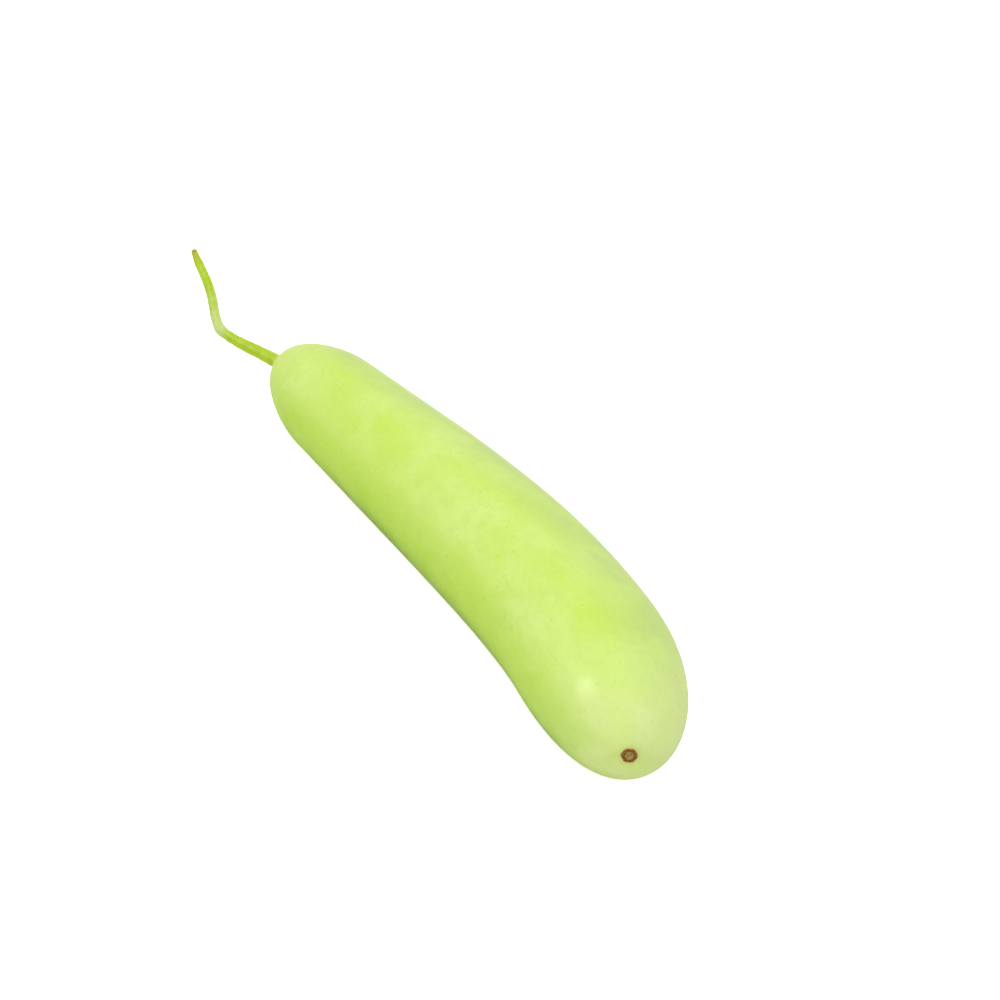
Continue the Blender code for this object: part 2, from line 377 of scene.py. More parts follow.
@dataclass(frozen=True)
class FruitForm:
    """The rule of the fruit's shape, with the same sizes as its solid."""

    length: float = 0.440
    belly_radius: float = 0.038
    neck_radius: float = 0.0284
    belly_at: float = 0.68
    swell_power: float = 0.71
    stem_dome: float = 0.065
    stem_dome_power: float = 1.87
    blossom_dome: float = 0.090
    blossom_dome_power: float = 2.26
    stem_heading: float = 2.9
    blossom_heading: float = -29.5
    heading_power: float = 4.94
    stem_lift: float = 0.0005
    blossom_lift: float = 0.0035
    rock: float = 0.0005
    rest_at: float = 0.54
    flat_depth: float = 0.0004
    pit_depth: float = 0.0012
    pit_width: float = 0.010
    dimple_depth: float = 0.0008
    dimple_width: float = 0.007
    line_steps: int = 400

    def heading(self, u: np.ndarray) -> np.ndarray:
        """Direction of the middle line seen from above, in radians from +X."""
        turn = self.blossom_heading - self.stem_heading
        return np.radians(self.stem_heading + turn * u**self.heading_power)

    def middle_line(self) -> tuple[np.ndarray, np.ndarray, np.ndarray]:
        """Places u along the middle line with its x and y, which are 0 above the resting flat."""
        u = np.linspace(0.0, 1.0, self.line_steps + 1)
        runs = []
        for part in (np.cos(self.heading(u)), np.sin(self.heading(u))):
            steps = 0.5 * (part[1:] + part[:-1]) * self.length / self.line_steps
            run = np.concatenate([[0.0], np.cumsum(steps)])
            runs.append(run - np.interp(self.rest_at, u, run))
        return u, runs[0], runs[1]

    def full_radius(self, u: float) -> float:
        """Radius of the body as it swells from neck to belly, without its rounded ends."""
        swell = min(u / self.belly_at, 1.0)
        swell = (swell * swell * (3.0 - 2.0 * swell)) ** self.swell_power
        return self.neck_radius + (self.belly_radius - self.neck_radius) * swell

    def section(self, u: float) -> Section:
        """Cross-section of the fruit.

        Args:
            u: Place along the fruit, from 0 to 1.

        Returns:
            The section there.
        """
        stem_dome = min(max(1.0 - u * self.length / self.stem_dome, 0.0), 1.0)
        blossom_dome = min(max(1.0 - (1.0 - u) * self.length / self.blossom_dome, 0.0), 1.0)
        rock = self.rock * (2.0 * (u - self.rest_at)) ** 2
        lift = self.stem_lift * stem_dome**2 + self.blossom_lift * blossom_dome**2 + rock
        slope = (
            2.0 * self.blossom_lift * blossom_dome / self.blossom_dome
            - 2.0 * self.stem_lift * stem_dome / self.stem_dome
            + 8.0 * self.rock * (u - self.rest_at) / self.length
        )
        turn = float(self.heading(u))
        along = Vector((math.cos(turn), math.sin(turn), slope)).normalized()
        side = Vector((-math.sin(turn), math.cos(turn), 0.0))
        line_u, line_x, line_y = self.middle_line()
        height = self.full_radius(u) + lift - self.flat_depth
        centre = Vector((np.interp(u, line_u, line_x), np.interp(u, line_u, line_y), height))
        rounding = math.sqrt(1.0 - stem_dome**self.stem_dome_power)
        rounding *= math.sqrt(1.0 - blossom_dome**self.blossom_dome_power)
        return Section(centre, along, side, self.full_radius(u) * rounding)

    def sunk(self, u: float, radius: float) -> float:
        """How far a ring of the skin is pushed along the middle line by the hollows at the ends."""
        if u < 0.5:
            return self.pit_depth * bell(radius, 0.0, self.pit_width)
        return -self.dimple_depth * bell(radius, 0.0, self.dimple_width)

    def end_frame(self, end: End, sunk: float) -> Matrix:
        """Matrix at an end of the fruit, with +Z pointing out of it.

        Args:
            end: Which end.
            sunk: How far below the tip its origin is.

        Returns:
            The matrix.
        """
        at = self.section(end.value)
        out = at.along * end.outward
        axes = Matrix((at.side, out.cross(at.side), out)).transposed().to_4x4()
        return Matrix.Translation(at.centre - out * sunk) @ axes


@dataclass(frozen=True)
class StemForm:
    """The stem's route with its radius, with the same sizes as its solid."""

    fruit: FruitForm
    aside: float = 0.003
    lean: float = 16.0
    root_radius: float = 0.0037
    collar_radius: float = 0.0035
    radius: float = 0.0027
    kink_radius: float = 0.0030
    bow_radius: float = 0.0025
    taper_radius: float = 0.0023
    tip_radius: float = 0.0013
    neck: float = 0.002
    collar: float = 0.012
    kink: Vector = field(default_factory=lambda: Vector((-0.0539, -0.0212, 0.0013)))
    bow: Vector = field(default_factory=lambda: Vector((-0.0777, -0.0167, 0.0171)))
    end: Vector = field(default_factory=lambda: Vector((-0.1033, -0.0167, 0.0331)))
    kink_rounding: float = 0.007
    tip_taper: float = 0.010
    socket_depth: float = 0.0037
    fineness: int = 40

    def frame(self) -> Matrix:
        """Matrix of the stem's root, with +Z along the stem."""
        tip = self.fruit.end_frame(End.STEM, self.fruit.pit_depth)
        aside = Matrix.Translation((-self.aside, 0.0, 0.0))
        return tip @ aside @ Matrix.Rotation(-math.radians(self.lean), 4, "Y")

    def kink_place(self) -> Vector:
        """Where the stem turns."""
        return self.fruit.section(0.0).centre + self.kink

    def route(self) -> list[tuple[Vector, float]]:
        """Points of the stem's middle, from its root to its tip, with the radius there."""
        frame, start = self.frame(), self.fruit.section(0.0).centre
        kink, bow, end = start + self.kink, start + self.bow, start + self.end
        collar = frame @ Vector((0.0, 0.0, self.collar))
        before_kink = kink + (collar - kink).normalized() * self.kink_rounding
        after_kink = kink + (bow - kink).normalized() * self.kink_rounding
        return [
            (frame @ Vector((0.0, 0.0, -self.socket_depth)), self.root_radius),
            (frame @ Vector((0.0, 0.0, self.neck)), self.root_radius),
            (collar, self.collar_radius),
            (before_kink, self.radius),
            (0.5 * kink + 0.25 * (before_kink + after_kink), self.kink_radius),
            (after_kink, self.radius),
            (bow, self.bow_radius),
            (end + (bow - end).normalized() * self.tip_taper, self.taper_radius),
            (end, self.tip_radius),
        ]

    def line(self) -> tuple[list[Vector], np.ndarray]:
        """Fine points of the route's smooth curve, and the radius at each."""
        curve = bpy.data.curves.new("stem_route", "CURVE")
        curve.dimensions = "3D"
        curve.resolution_u = self.fineness
        route = self.route()
        spline = curve.splines.new("BEZIER")
        spline.bezier_points.add(len(route) - 1)
        for point, (place, _) in zip(spline.bezier_points, route):
            point.co = place
            point.handle_left_type = "AUTO"
            point.handle_right_type = "AUTO"
        guide = place_in_collection(bpy.data.objects.new("stem_route", curve))
        view = bpy.context.evaluated_depsgraph_get()
        mesh = bpy.data.meshes.new_from_object(guide.evaluated_get(view))
        points = [vertex.co.copy() for vertex in mesh.vertices]
        bpy.data.objects.remove(guide, do_unlink=True)
        bpy.data.meshes.remove(mesh)
        steps = np.arange(len(points)) / self.fineness
        radii = np.interp(steps, np.arange(len(route)), [radius for _, radius in route])
        return points, radii


class Patterns:
    """Node groups that more than one finish uses."""

    def __init__(self) -> None:
        """Builds each group once."""
        self.blotches = self._blotches()
        self.specks = self._specks()
        self.grain = self._grain()

    @staticmethod
    def _blotches() -> bpy.types.NodeTree:
        """Soft-edged blotches of one size, as a mask."""
        group = Group("soft_blotches")
        place = group.take("Vector", "Vector")
        scale = group.take("Scale", value=50.0)
        seed = group.take("Seed", value=0.0)
        low = group.take("Low", value=0.4)
        high = group.take("High", value=0.6)
        group.give("Mask", group.between(group.clouds(place, scale, seed, 2.0), low, high))
        return group.tree

    @staticmethod
    def _specks() -> bpy.types.NodeTree:
        """Scattered round specks, as a mask. Share is how many of the places hold one."""
        group = Group("scattered_specks")
        place = group.take("Vector", "Vector")
        scale = group.take("Scale", value=200.0)
        radius = group.take("Radius", value=0.3)
        share = group.take("Share", value=0.5)
        shake = group.add("ShaderNodeTexNoise", {"Vector": place, "Scale": scale}).outputs[1]
        shaken = group.vector("ADD", place, group.scaled(shake, 0.0006))
        cells = group.add("ShaderNodeTexVoronoi", {"Vector": shaken, "Scale": scale})
        chance = group.parts(cells.outputs["Color"])
        size = group.times(radius, group.spread(chance[1], 0.5, 1.0))
        spot = group.between(cells.outputs["Distance"], size, group.times(size, 0.45))
        group.give("Mask", group.times(spot, group.math("LESS_THAN", chance[0], share)))
        return group.tree

    @staticmethod
    def _grain() -> bpy.types.NodeTree:
        """Height of a grown surface: fine grain, pores and streaks along it."""
        group = Group("grown_grain")
        place = group.take("Vector", "Vector")
        scale = group.take("Scale", value=900.0)
        pores = group.take("Pores", value=0.3)
        streaks = group.take("Streaks", value=0.3)
        drawn_out = group.vector("MULTIPLY", place, (0.12, 1.0, 1.0))
        grains = group.clouds(place, scale, 3.0, 3.0)
        lines = group.clouds(drawn_out, group.times(scale, 0.7), 5.0, 1.0)
        cells = group.add("ShaderNodeTexVoronoi", {"Vector": place, "Scale": group.times(scale, 0.5)})
        holes = group.between(cells.outputs["Distance"], 0.35, 0.1)
        raised = group.total(grains, group.times(lines, streaks))
        group.give("Height", group.math("SUBTRACT", raised, group.times(holes, pores)))
        return group.tree


class Finish:
    """A material that layers colours over each other and ends in one shader."""

    def __init__(self, name: str, patterns: Patterns) -> None:
        """Starts an empty material.

        Args:
            name: Name of the material.
            patterns: The shared node groups.
        """
        self.material = bpy.data.materials.new(name)
        self.material.use_nodes = True
        self.patterns = patterns
        self.graph = Graph(self.material.node_tree)
        self.shader = self.material.node_tree.nodes["Principled BSDF"]
        self.place = self.graph.add("ShaderNodeTexCoord", {}).outputs["Object"]

    def number(self, name: str) -> Socket:
        """A number stored on the piece under this name."""
        return self.graph.add("ShaderNodeAttribute", {}, attribute_name=name).outputs["Fac"]

    def stretched(self, factors: Triple, turn: Triple) -> Socket:
        """Object coordinates, turned and stretched.

        Args:
            factors: Factor on each axis. A small one draws the pattern out along that axis.
            turn: Angles about each axis, in degrees.

        Returns:
            The new coordinates.
        """
        turned = tuple(math.radians(angle) for angle in turn)
        inputs = {"Vector": self.place, "Rotation": turned, "Scale": factors}
        return self.graph.add("ShaderNodeMapping", inputs).outputs[0]

    def blotches(self, size: Blotch, seed: float, low: float, high: float, place: Socket = None) -> Socket:
        """Mask of soft blotches, from where the noise is low to where it is high."""
        inputs = {"Vector": place or self.place, "Scale": size.value, "Seed": seed, "Low": low, "High": high}
        return self._grouped(self.patterns.blotches, inputs)

    def _grouped(self, tree: bpy.types.NodeTree, inputs: dict[str, Value]) -> Socket:
        """First output of a shared group fed with these inputs."""
        return self.graph.add("ShaderNodeGroup", inputs, node_tree=tree).outputs[0]

    def specks(self, scale: float, radius: float, share: float) -> Socket:
        """Mask of specks: places per metre, radius as a share of a place, and share of places used."""
        inputs = {"Vector": self.place, "Scale": scale, "Radius": radius, "Share": share}
        return self._grouped(self.patterns.specks, inputs)

    def relief(self, height: Value, depth: float) -> None:
        """Bump that stands for relief too fine for the mesh. The depth is in metres."""
        bump = self.graph.add("ShaderNodeBump", {"Height": height, "Distance": depth, "Strength": 1.0})
        self.graph.feed(self.shader.inputs["Normal"], bump.outputs[0])

    def grain(self, scale: float, pores: float, streaks: float) -> Socket:
        """Height of the shared grain."""
        inputs = {"Vector": self.place, "Scale": scale, "Pores": pores, "Streaks": streaks}
        return self._grouped(self.patterns.grain, inputs)

    def layered(self, base: Value, layers: list[tuple[Value, Value]]) -> Socket:
        """Colours laid over each other.

        Args:
            base: The lowest colour.
            layers: Mask and colour of each layer, from the lowest to the highest.

        Returns:
            The colour that results.
        """
        colour = base
        for mask, tone in layers:
            colour = self.graph.mixed(mask, colour, tone)
        return colour

    def set(self, **values: Value) -> None:
        """Feeds the shader's inputs, named with _ for a space."""
        for name, value in values.items():
            self.graph.feed(self.shader.inputs[name.replace("_", " ")], value)


@dataclass(frozen=True)
class SkinFinish:
    """Waxy rind: lime green with soft mottling, cream towards the blossom end, a greyish tone on the upper +Y
    flank and a deeper green on the lower -Y flank that are both partly painted shade, and a darker green
    underside that is painted shade.

    A reach is where a tone starts and where it is full: in metres from an end, as a share of the
    fruit's length, or round the fruit. A strength is how strongly the tone shows. A pair gives it
    where the mask that varies it is 0, and where that mask is 1.
    """

    scar_place: Vector
    stem_place: Vector
    lime: Colour = screen(184, 212, 80)
    pale_lime: Colour = screen(200, 220, 126)
    # deep serves the green patches and the lower -Y flank; on the flank it is partly painted shade.
    deep: Colour = screen(156, 196, 8)
    # The greyish tone on the upper +Y flank is partly the rind's waxy coating and partly painted shade.
    bloom_and_shade: Colour = screen(174, 196, 110)
    cream: Colour = screen(202, 217, 143)
    halo: Colour = screen(206, 196, 112)
    rim_green: Colour = screen(160, 190, 60)
    # The darker green on the underside is painted shade, not the rind's own colour.
    under: Colour = screen(74, 106, 0)
    dark_speck: Colour = screen(128, 168, 40)
    pale_speck: Colour = screen(210, 222, 150)
    scuff: Colour = screen(184, 176, 104)
    pale_strength: Pair = (1.0, 0.45)
    # Reach and strength of the deeper green on the lower -Y flank, which is partly painted shade.
    flank_reach: Pair = (0.40, 1.05)
    flank_strength: Pair = (0.55, 1.0)
    flank_whole: float = 0.8
    patch_strength: Pair = (0.10, 0.24)
    # Reach and strength of that greyish tone, which is partly painted shade.
    bloom_and_shade_reach: Pair = (0.1, 0.75)
    bloom_and_shade_strength: Pair = (0.9, 0.5)
    cream_reach: Pair = (0.070, 0.012)
    cream_strength: Pair = (0.85, 0.5)
    shoulder_reach: Pair = (0.060, 0.010)
    shoulder_strength: Pair = (0.1, 0.35)
    rim_reach: Pair = (0.009, 0.004)
    rim_strength: float = 0.7
    halo_reach: Pair = (0.0064, 0.0046)
    halo_strength: float = 0.35
    # Painted shade on the underside: it fades in and out along the fruit, and grows round it as the skin
    # faces down.
    body_start: Pair = (0.10, 0.35)
    body_end: Pair = (0.97, 0.85)
    underside_shade_reach: Pair = (0.0, -0.72)
    underside_shade_strength: Pair = (0.6, 0.75)
    scuff_reach: Pair = (0.55, 0.9)
    polish_reach: Pair = (0.090, 0.046)
    polish_strength: Pair = (0.4, 1.0)
    dull_reach: Pair = (-0.5, 0.0)
    dull_strength: Pair = (0.2, 1.0)

    def make(self, patterns: Patterns) -> bpy.types.Material:
        """Builds the material.

        Args:
            patterns: The shared node groups.

        Returns:
            The material.
        """
        finish = Finish("gourd_skin_finish", patterns)
        graph = finish.graph
        across, up, along = finish.number("across"), finish.number("up"), finish.number("along")
        to_scar = graph.measure("DISTANCE", finish.place, self.scar_place)
        to_stem = graph.measure("DISTANCE", finish.place, self.stem_place)
        streaky = finish.stretched((0.6, 1.0, 1.0), (0.0, 0.0, 20.0))
        soft = finish.blotches(Blotch.BROAD, 1.0, 0.38, 0.64)
        middle = finish.blotches(Blotch.MIDDLE, 2.0, 0.36, 0.66, streaky)
        small = finish.blotches(Blotch.SMALL, 3.0, 0.38, 0.66, streaky)
        fine = finish.blotches(Blotch.FINE, 4.0, 0.35, 0.7)
        flecks = finish.blotches(Blotch.FINE, 6.0, 0.50, 0.72, streaky)
        paler = graph.total(graph.times(soft, 0.45), graph.times(middle, 0.35), graph.times(small, 0.2))
        # Mask of the lower -Y flank, where a deeper, darker green is partly painted shade.
        near = graph.total(graph.times(across, -0.9), graph.times(up, -0.45))
        flank = graph.between(near, *self.flank_reach)
        # Greyish tone over the upper +Y flank up to its edge: partly waxy coating, partly painted shade.
        far = graph.total(graph.times(across, 0.9), graph.times(up, 0.35))
        bloom_and_shade_mask = graph.between(far, *self.bloom_and_shade_reach)
        creamy = graph.between(to_scar, *self.cream_reach)
        shoulder = graph.between(to_stem, *self.shoulder_reach)
        # Painted shade: darker green over the underside, faded towards both ends.
        body = graph.times(graph.between(along, *self.body_start), graph.between(along, *self.body_end))
        below = graph.times(graph.between(up, *self.underside_shade_reach), body)
        scuffed = graph.times(finish.specks(60.0, 0.20, 0.12), graph.between(along, *self.scuff_reach))
        colour = finish.layered(self.lime, [
            (graph.varied(paler, flank, self.pale_strength), self.pale_lime),
            # deeper green on the lower -Y flank, partly painted shade
            (graph.times(graph.varied(flank, middle, self.flank_strength), self.flank_whole), self.deep),
            (graph.varied(small, soft, self.patch_strength), self.deep),
            # greyish tone on the upper +Y flank, partly painted shade
            (graph.varied(bloom_and_shade_mask, middle, self.bloom_and_shade_strength), self.bloom_and_shade),
            (graph.varied(creamy, middle, self.cream_strength), self.cream),
            (graph.varied(shoulder, small, self.shoulder_strength), self.pale_lime),
            (graph.times(graph.between(to_stem, *self.rim_reach), self.rim_strength), self.rim_green),
            (graph.times(graph.between(to_scar, *self.halo_reach), self.halo_strength), self.halo),
            # painted shade on the underside
            (graph.varied(below, middle, self.underside_shade_strength), self.under),
            (graph.times(fine, 0.09), self.pale_speck),
            (graph.times(flecks, 0.07), self.dark_speck),
            (graph.times(finish.specks(230.0, 0.30, 0.30), 0.13), self.dark_speck),
            (graph.times(finish.specks(700.0, 0.22, 0.5), 0.25), self.pale_speck),
            (graph.times(scuffed, 0.25), self.scuff),
        ])
        polished = graph.spread(graph.between(to_scar, *self.polish_reach), *self.polish_strength)
        polished = graph.varied(polished, graph.between(up, *self.dull_reach), self.dull_strength)
        finish.relief(finish.grain(1400.0, 0.35, 0.5), 0.00003)
        finish.set(
            Base_Color=colour,
            Roughness=graph.spread(graph.times(small, fine), 0.42, 0.56),
            IOR=1.42,
            Specular_IOR_Level=0.12,
            Subsurface_Weight=0.22,
            Subsurface_Radius=(1.0, 0.9, 0.35),
            Subsurface_Scale=0.004,
            Coat_Weight=graph.times(graph.spread(small, 0.20, 0.14), polished),
            Coat_Roughness=0.22,
        )
        return finish.material


@dataclass(frozen=True)
class StemFinish:
    """Fresh ribbed stalk: green with pale ribs, paler at the kink, and drying to olive at its tip.

    A reach is a share of the stalk's length, and ridge_reach is how far up a rib.
    """

    green: Colour = screen(169, 196, 12)
    deep: Colour = screen(152, 182, 4)
    pale: Colour = screen(196, 208, 142)
    dry: Colour = screen(166, 168, 4)
    brown: Colour = screen(136, 124, 4)
    root: Colour = screen(180, 208, 66)
    ridge_reach: Pair = (0.35, 1.0)
    ridge_strength: Pair = (0.22, 0.10)
    kink_strength: Pair = (0.9, 0.65)
    risen_start: Pair = (0.50, 0.56)
    risen_end: Pair = (0.80, 0.60)
    risen_strength: Pair = (0.55, 0.25)
    root_reach: Pair = (0.085, 0.038)
    dry_reach: Pair = (0.87, 0.965)
    brown_reach: Pair = (0.955, 1.0)
    brown_strength: Pair = (0.5, 0.95)

    def make(self, patterns: Patterns) -> bpy.types.Material:
        """Builds the material.

        Args:
            patterns: The shared node groups.

        Returns:
            The material.
        """
        finish = Finish("gourd_stem_finish", patterns)
        graph = finish.graph
        rib, run, bend = finish.number("rib"), finish.number("along"), finish.number("bend")
        small = finish.blotches(Blotch.SMALL, 7.0, 0.38, 0.64)
        fine = finish.blotches(Blotch.FINE, 8.0, 0.36, 0.66)
        risen = graph.times(graph.between(run, *self.risen_start), graph.between(run, *self.risen_end))
        colour = finish.layered(self.green, [
            (graph.times(small, 0.6), self.deep),
            (graph.varied(graph.between(rib, *self.ridge_reach), small, self.ridge_strength), self.pale),
            (graph.varied(bend, fine, self.kink_strength), self.pale),
            (graph.varied(risen, small, self.risen_strength), self.pale),
            (graph.times(graph.between(run, *self.root_reach), 0.9), self.root),
            (graph.times(graph.between(run, *self.dry_reach), 0.85), self.dry),
            (graph.varied(graph.between(run, *self.brown_reach), small, self.brown_strength), self.brown),
            (graph.times(finish.specks(900.0, 0.35, 0.4), 0.35), self.root),
        ])
        finish.relief(finish.grain(2400.0, 0.2, 0.8), 0.00006)
        finish.set(
            Base_Color=colour,
            Roughness=graph.spread(fine, 0.50, 0.66),
            IOR=1.40,
            Subsurface_Weight=0.15,
            Subsurface_Radius=(1.0, 1.0, 0.3),
            Subsurface_Scale=0.0015,
            Specular_IOR_Level=0.3,
            Sheen_Weight=0.05,
            Sheen_Roughness=0.5,
        )
        return finish.material


@dataclass(frozen=True)
class DownFinish:
    """Fine plant hairs: from yellow-green to pale, by soft mottling, and never white."""

    green: Colour = screen(176, 192, 60)
    pale: Colour = screen(208, 216, 130)

    def make(self, patterns: Patterns) -> bpy.types.Material:
        """Builds the material.

        Args:
            patterns: The shared node groups.

        Returns:
            The material.
        """
        finish = Finish("gourd_down_finish", patterns)
        fine = finish.blotches(Blotch.FINE, 11.0, 0.35, 0.65)
        finish.set(
            Base_Color=finish.graph.mixed(fine, self.green, self.pale),
            Roughness=finish.graph.spread(fine, 0.5, 0.7),
            Specular_IOR_Level=0.3,
        )
        return finish.material


@dataclass(frozen=True)
class ScarFinish:
    """Dry corky tissue: a dark brown rim round a tan middle, with olive streaks and cracks."""

    rim: Colour = screen(112, 74, 10)
    rim_warm: Colour = screen(146, 100, 20)
    olive: Colour = screen(108, 112, 28)
    tan: Colour = screen(178, 156, 94)
    crack: Colour = screen(76, 50, 14)
    edge: Colour = screen(166, 128, 46)
    speckle_scale: float = 1300.0
    ragged: float = 0.45
    rim_reach: Pair = (0.48, 0.64)
    edge_reach: Pair = (0.93, 1.0)
    edge_strength: Pair = (0.4, 0.8)

    def make(self, patterns: Patterns) -> bpy.types.Material:
        """Builds the material.

        Args:
            patterns: The shared node groups.

        Returns:
            The material.
        """
        finish = Finish("gourd_scar_finish", patterns)
        graph = finish.graph
        ring, cracked, streak = finish.number("ring"), finish.number("crack"), finish.number("streak")
        speckle = {"Vector": finish.place, "Scale": self.speckle_scale, "Detail": 4.0}
        small = graph.add("ShaderNodeTexNoise", speckle).outputs[0]
        fine = finish.blotches(Blotch.FINE, 14.0, 0.35, 0.65)
        wobbly = graph.total(ring, graph.times(graph.math("SUBTRACT", small, 0.5), self.ragged))
        rim = graph.mixed(graph.between(small, 0.40, 0.62), self.rim, self.rim_warm)
        rim = graph.mixed(graph.times(streak, 0.7), rim, self.olive)
        tan = graph.mixed(graph.between(small, 0.45, 0.7), self.tan, self.rim_warm)
        colour = finish.layered(tan, [
            (graph.times(streak, 0.75), self.olive),
            (graph.between(wobbly, *self.rim_reach), rim),
            (graph.varied(graph.between(ring, *self.edge_reach), fine, self.edge_strength), self.edge),
            (graph.times(cracked, 0.7), self.crack),
        ])
        finish.relief(finish.grain(5200.0, 0.6, 0.3), 0.00008)
        finish.set(Base_Color=colour, Roughness=graph.spread(small, 0.72, 0.95), IOR=1.35, Sheen_Weight=0.05)
        return finish.material


@dataclass
class Fruit:
    """The fruit's skin, swept over its middle line and given its lumps, folds and hollows."""

    form: FruitForm
    stem: StemForm
    rings: int = 300
    sides: int = 220
    lump_height: float = 0.0007
    lump_scale: float = 21.0
    ripple_height: float = 0.00022
    ripple_scale: float = 95.0
    rib_height: float = 0.0004
    rib_scale: float = 62.0
    lump_stretch: Triple = (0.7, 1.0, 1.0)
    rib_stretch: Triple = (0.10, 1.0, 1.0)
    fold_count: float = 3.4
    hollow_narrowness: float = 6.0
    stem_fold_height: float = 0.0009
    stem_fold_reach: float = 0.015
    stem_hollow: float = -0.0019
    scar_fold_height: float = 0.00018
    scar_fold_reach: float = 0.0065
    scar_hollow: float = 0.0003
    settle: float = 0.00012
    seed: float = 3.0

    def middle_line(self) -> bpy.types.Object:
        """Line through the fruit, close-set towards both tips, with the skin's radius stored on it."""
        places = [0.5 * (1.0 - math.cos(math.pi * i / self.rings)) for i in range(self.rings + 1)]
        points, radii = [], []
        for u in places:
            at = self.form.section(u)
            points.append(at.centre + at.along * self.form.sunk(u, at.radius))
            radii.append(at.radius)
        return guide_line("fruit_middle_line", points, {"girth": radii, "along": places})

    def folds(self) -> bpy.types.NodeTree:
        """Group that gives the height of a hollow and of the folds that run into it.

        Returns:
            The group, which measures from Centre in the plane of Side and Above.
        """
        group = Group("folds_round_a_point", "GeometryNodeTree")
        place = group.take("Place", "Vector")
        centre = group.take("Centre", "Vector")
        side = group.take("Side", "Vector")
        above = group.take("Above", "Vector")
        reach = group.take("Reach", value=0.01)
        height = group.take("Height", value=0.0002)
        hollow = group.take("Hollow", value=0.0003)
        count = group.take("Count", value=3.0)
        seed = group.take("Seed", value=0.0)
        offset = group.vector("SUBTRACT", place, centre)
        distance = group.measure("LENGTH", offset)
        x, y = group.measure("DOT_PRODUCT", offset, side), group.measure("DOT_PRODUCT", offset, above)
        angle = group.math("ARCTAN2", y, x)
        circle = group.joined(group.math("COSINE", angle), group.math("SINE", angle), 0.0)
        wave = group.math("SUBTRACT", group.clouds(circle, count, seed, 1.0), 0.5)
        ratio = group.math("DIVIDE", distance, reach)
        fade = group.math("EXPONENT", group.times(ratio, ratio, -1.0))
        rise = group.times(wave, height, fade)
        near = group.math("EXPONENT", group.times(ratio, ratio, -self.hollow_narrowness))
        group.give("Height", group.math("SUBTRACT", rise, group.times(near, hollow)))
        return group.tree

    def tree(self) -> FormTree:
        """Tree that sweeps the skin, raises its relief and settles it on the surface below."""
        tree = FormTree("gourd_skin_form")
        sides, seed = tree.size("Sides", self.sides, "Int"), tree.size("Seed", self.seed)
        settle = tree.size("Settle", self.settle)
        line = tree.add("GeometryNodeMeshToCurve", {"Mesh": tree.guide}).outputs[0]
        line = tree.add("GeometryNodeSetCurveNormal", {"Curve": line}, mode="Z_UP").outputs[0]
        ring = tree.add("GeometryNodeCurvePrimitiveCircle", {"Resolution": sides, "Radius": 1.0}).outputs[0]
        x, y, _ = tree.parts(tree.scaled(tree.position(), -1.0))
        ring = tree.stored(tree.stored(ring, "across", x), "up", y)
        skin = tree.swept(line, ring)
        place = tree.position()
        heights = []
        for name, height, scale, stretch, detail in (
            ("Lump", self.lump_height, self.lump_scale, self.lump_stretch, 1.0),
            ("Ripple", self.ripple_height, self.ripple_scale, (1.0, 1.0, 1.0), 2.0),
            ("Rib", self.rib_height, self.rib_scale, self.rib_stretch, 1.0),
        ):
            high, close_set = tree.size(name + " Height", height), tree.size(name + " Scale", scale)
            drawn_out = tree.vector("MULTIPLY", place, stretch)
            heights.append(tree.bumps(drawn_out, close_set, seed, detail, high))
        folds, scar = self.folds(), self.form.end_frame(End.BLOSSOM, self.form.dimple_depth)
        for name, matrix, reach, height, hollow in (
            ("Stem", self.stem.frame(), self.stem_fold_reach, self.stem_fold_height, self.stem_hollow),
            ("Blossom", scar, self.scar_fold_reach, self.scar_fold_height, self.scar_hollow),
        ):
            inputs = {
                "Place": place,
                "Centre": tree.size(name + " Centre", matrix.translation, "Vector"),
                "Side": tree.size(name + " Side", matrix.col[0].xyz, "Vector"),
                "Above": tree.size(name + " Above", matrix.col[1].xyz, "Vector"),
                "Reach": tree.size(name + " Fold Reach", reach),
                "Height": tree.size(name + " Fold Height", height),
                "Hollow": tree.size(name + " Hollow", hollow),
                "Count": self.fold_count,
                "Seed": seed,
            }
            heights.append(tree.add("GeometryNodeGroup", inputs, node_tree=folds).outputs[0])
        skin = tree.moved(skin, tree.scaled(tree.normal(), tree.total(*heights)))
        x, y, z = tree.parts(tree.position())
        root = tree.math("SQRT", tree.total(tree.times(z, z), tree.times(settle, settle)))
        settled = tree.joined(x, y, tree.times(tree.total(z, root), 0.5))
        skin = tree.add("GeometryNodeSetPosition", {"Geometry": skin, "Position": settled}).outputs[0]
        tree.close(skin)
        return tree

    def build(self, finish: bpy.types.Material) -> bpy.types.Object:
        """Makes the skin, in its finish."""
        return self.tree().grow(self.middle_line(), "gourd_skin", finish)


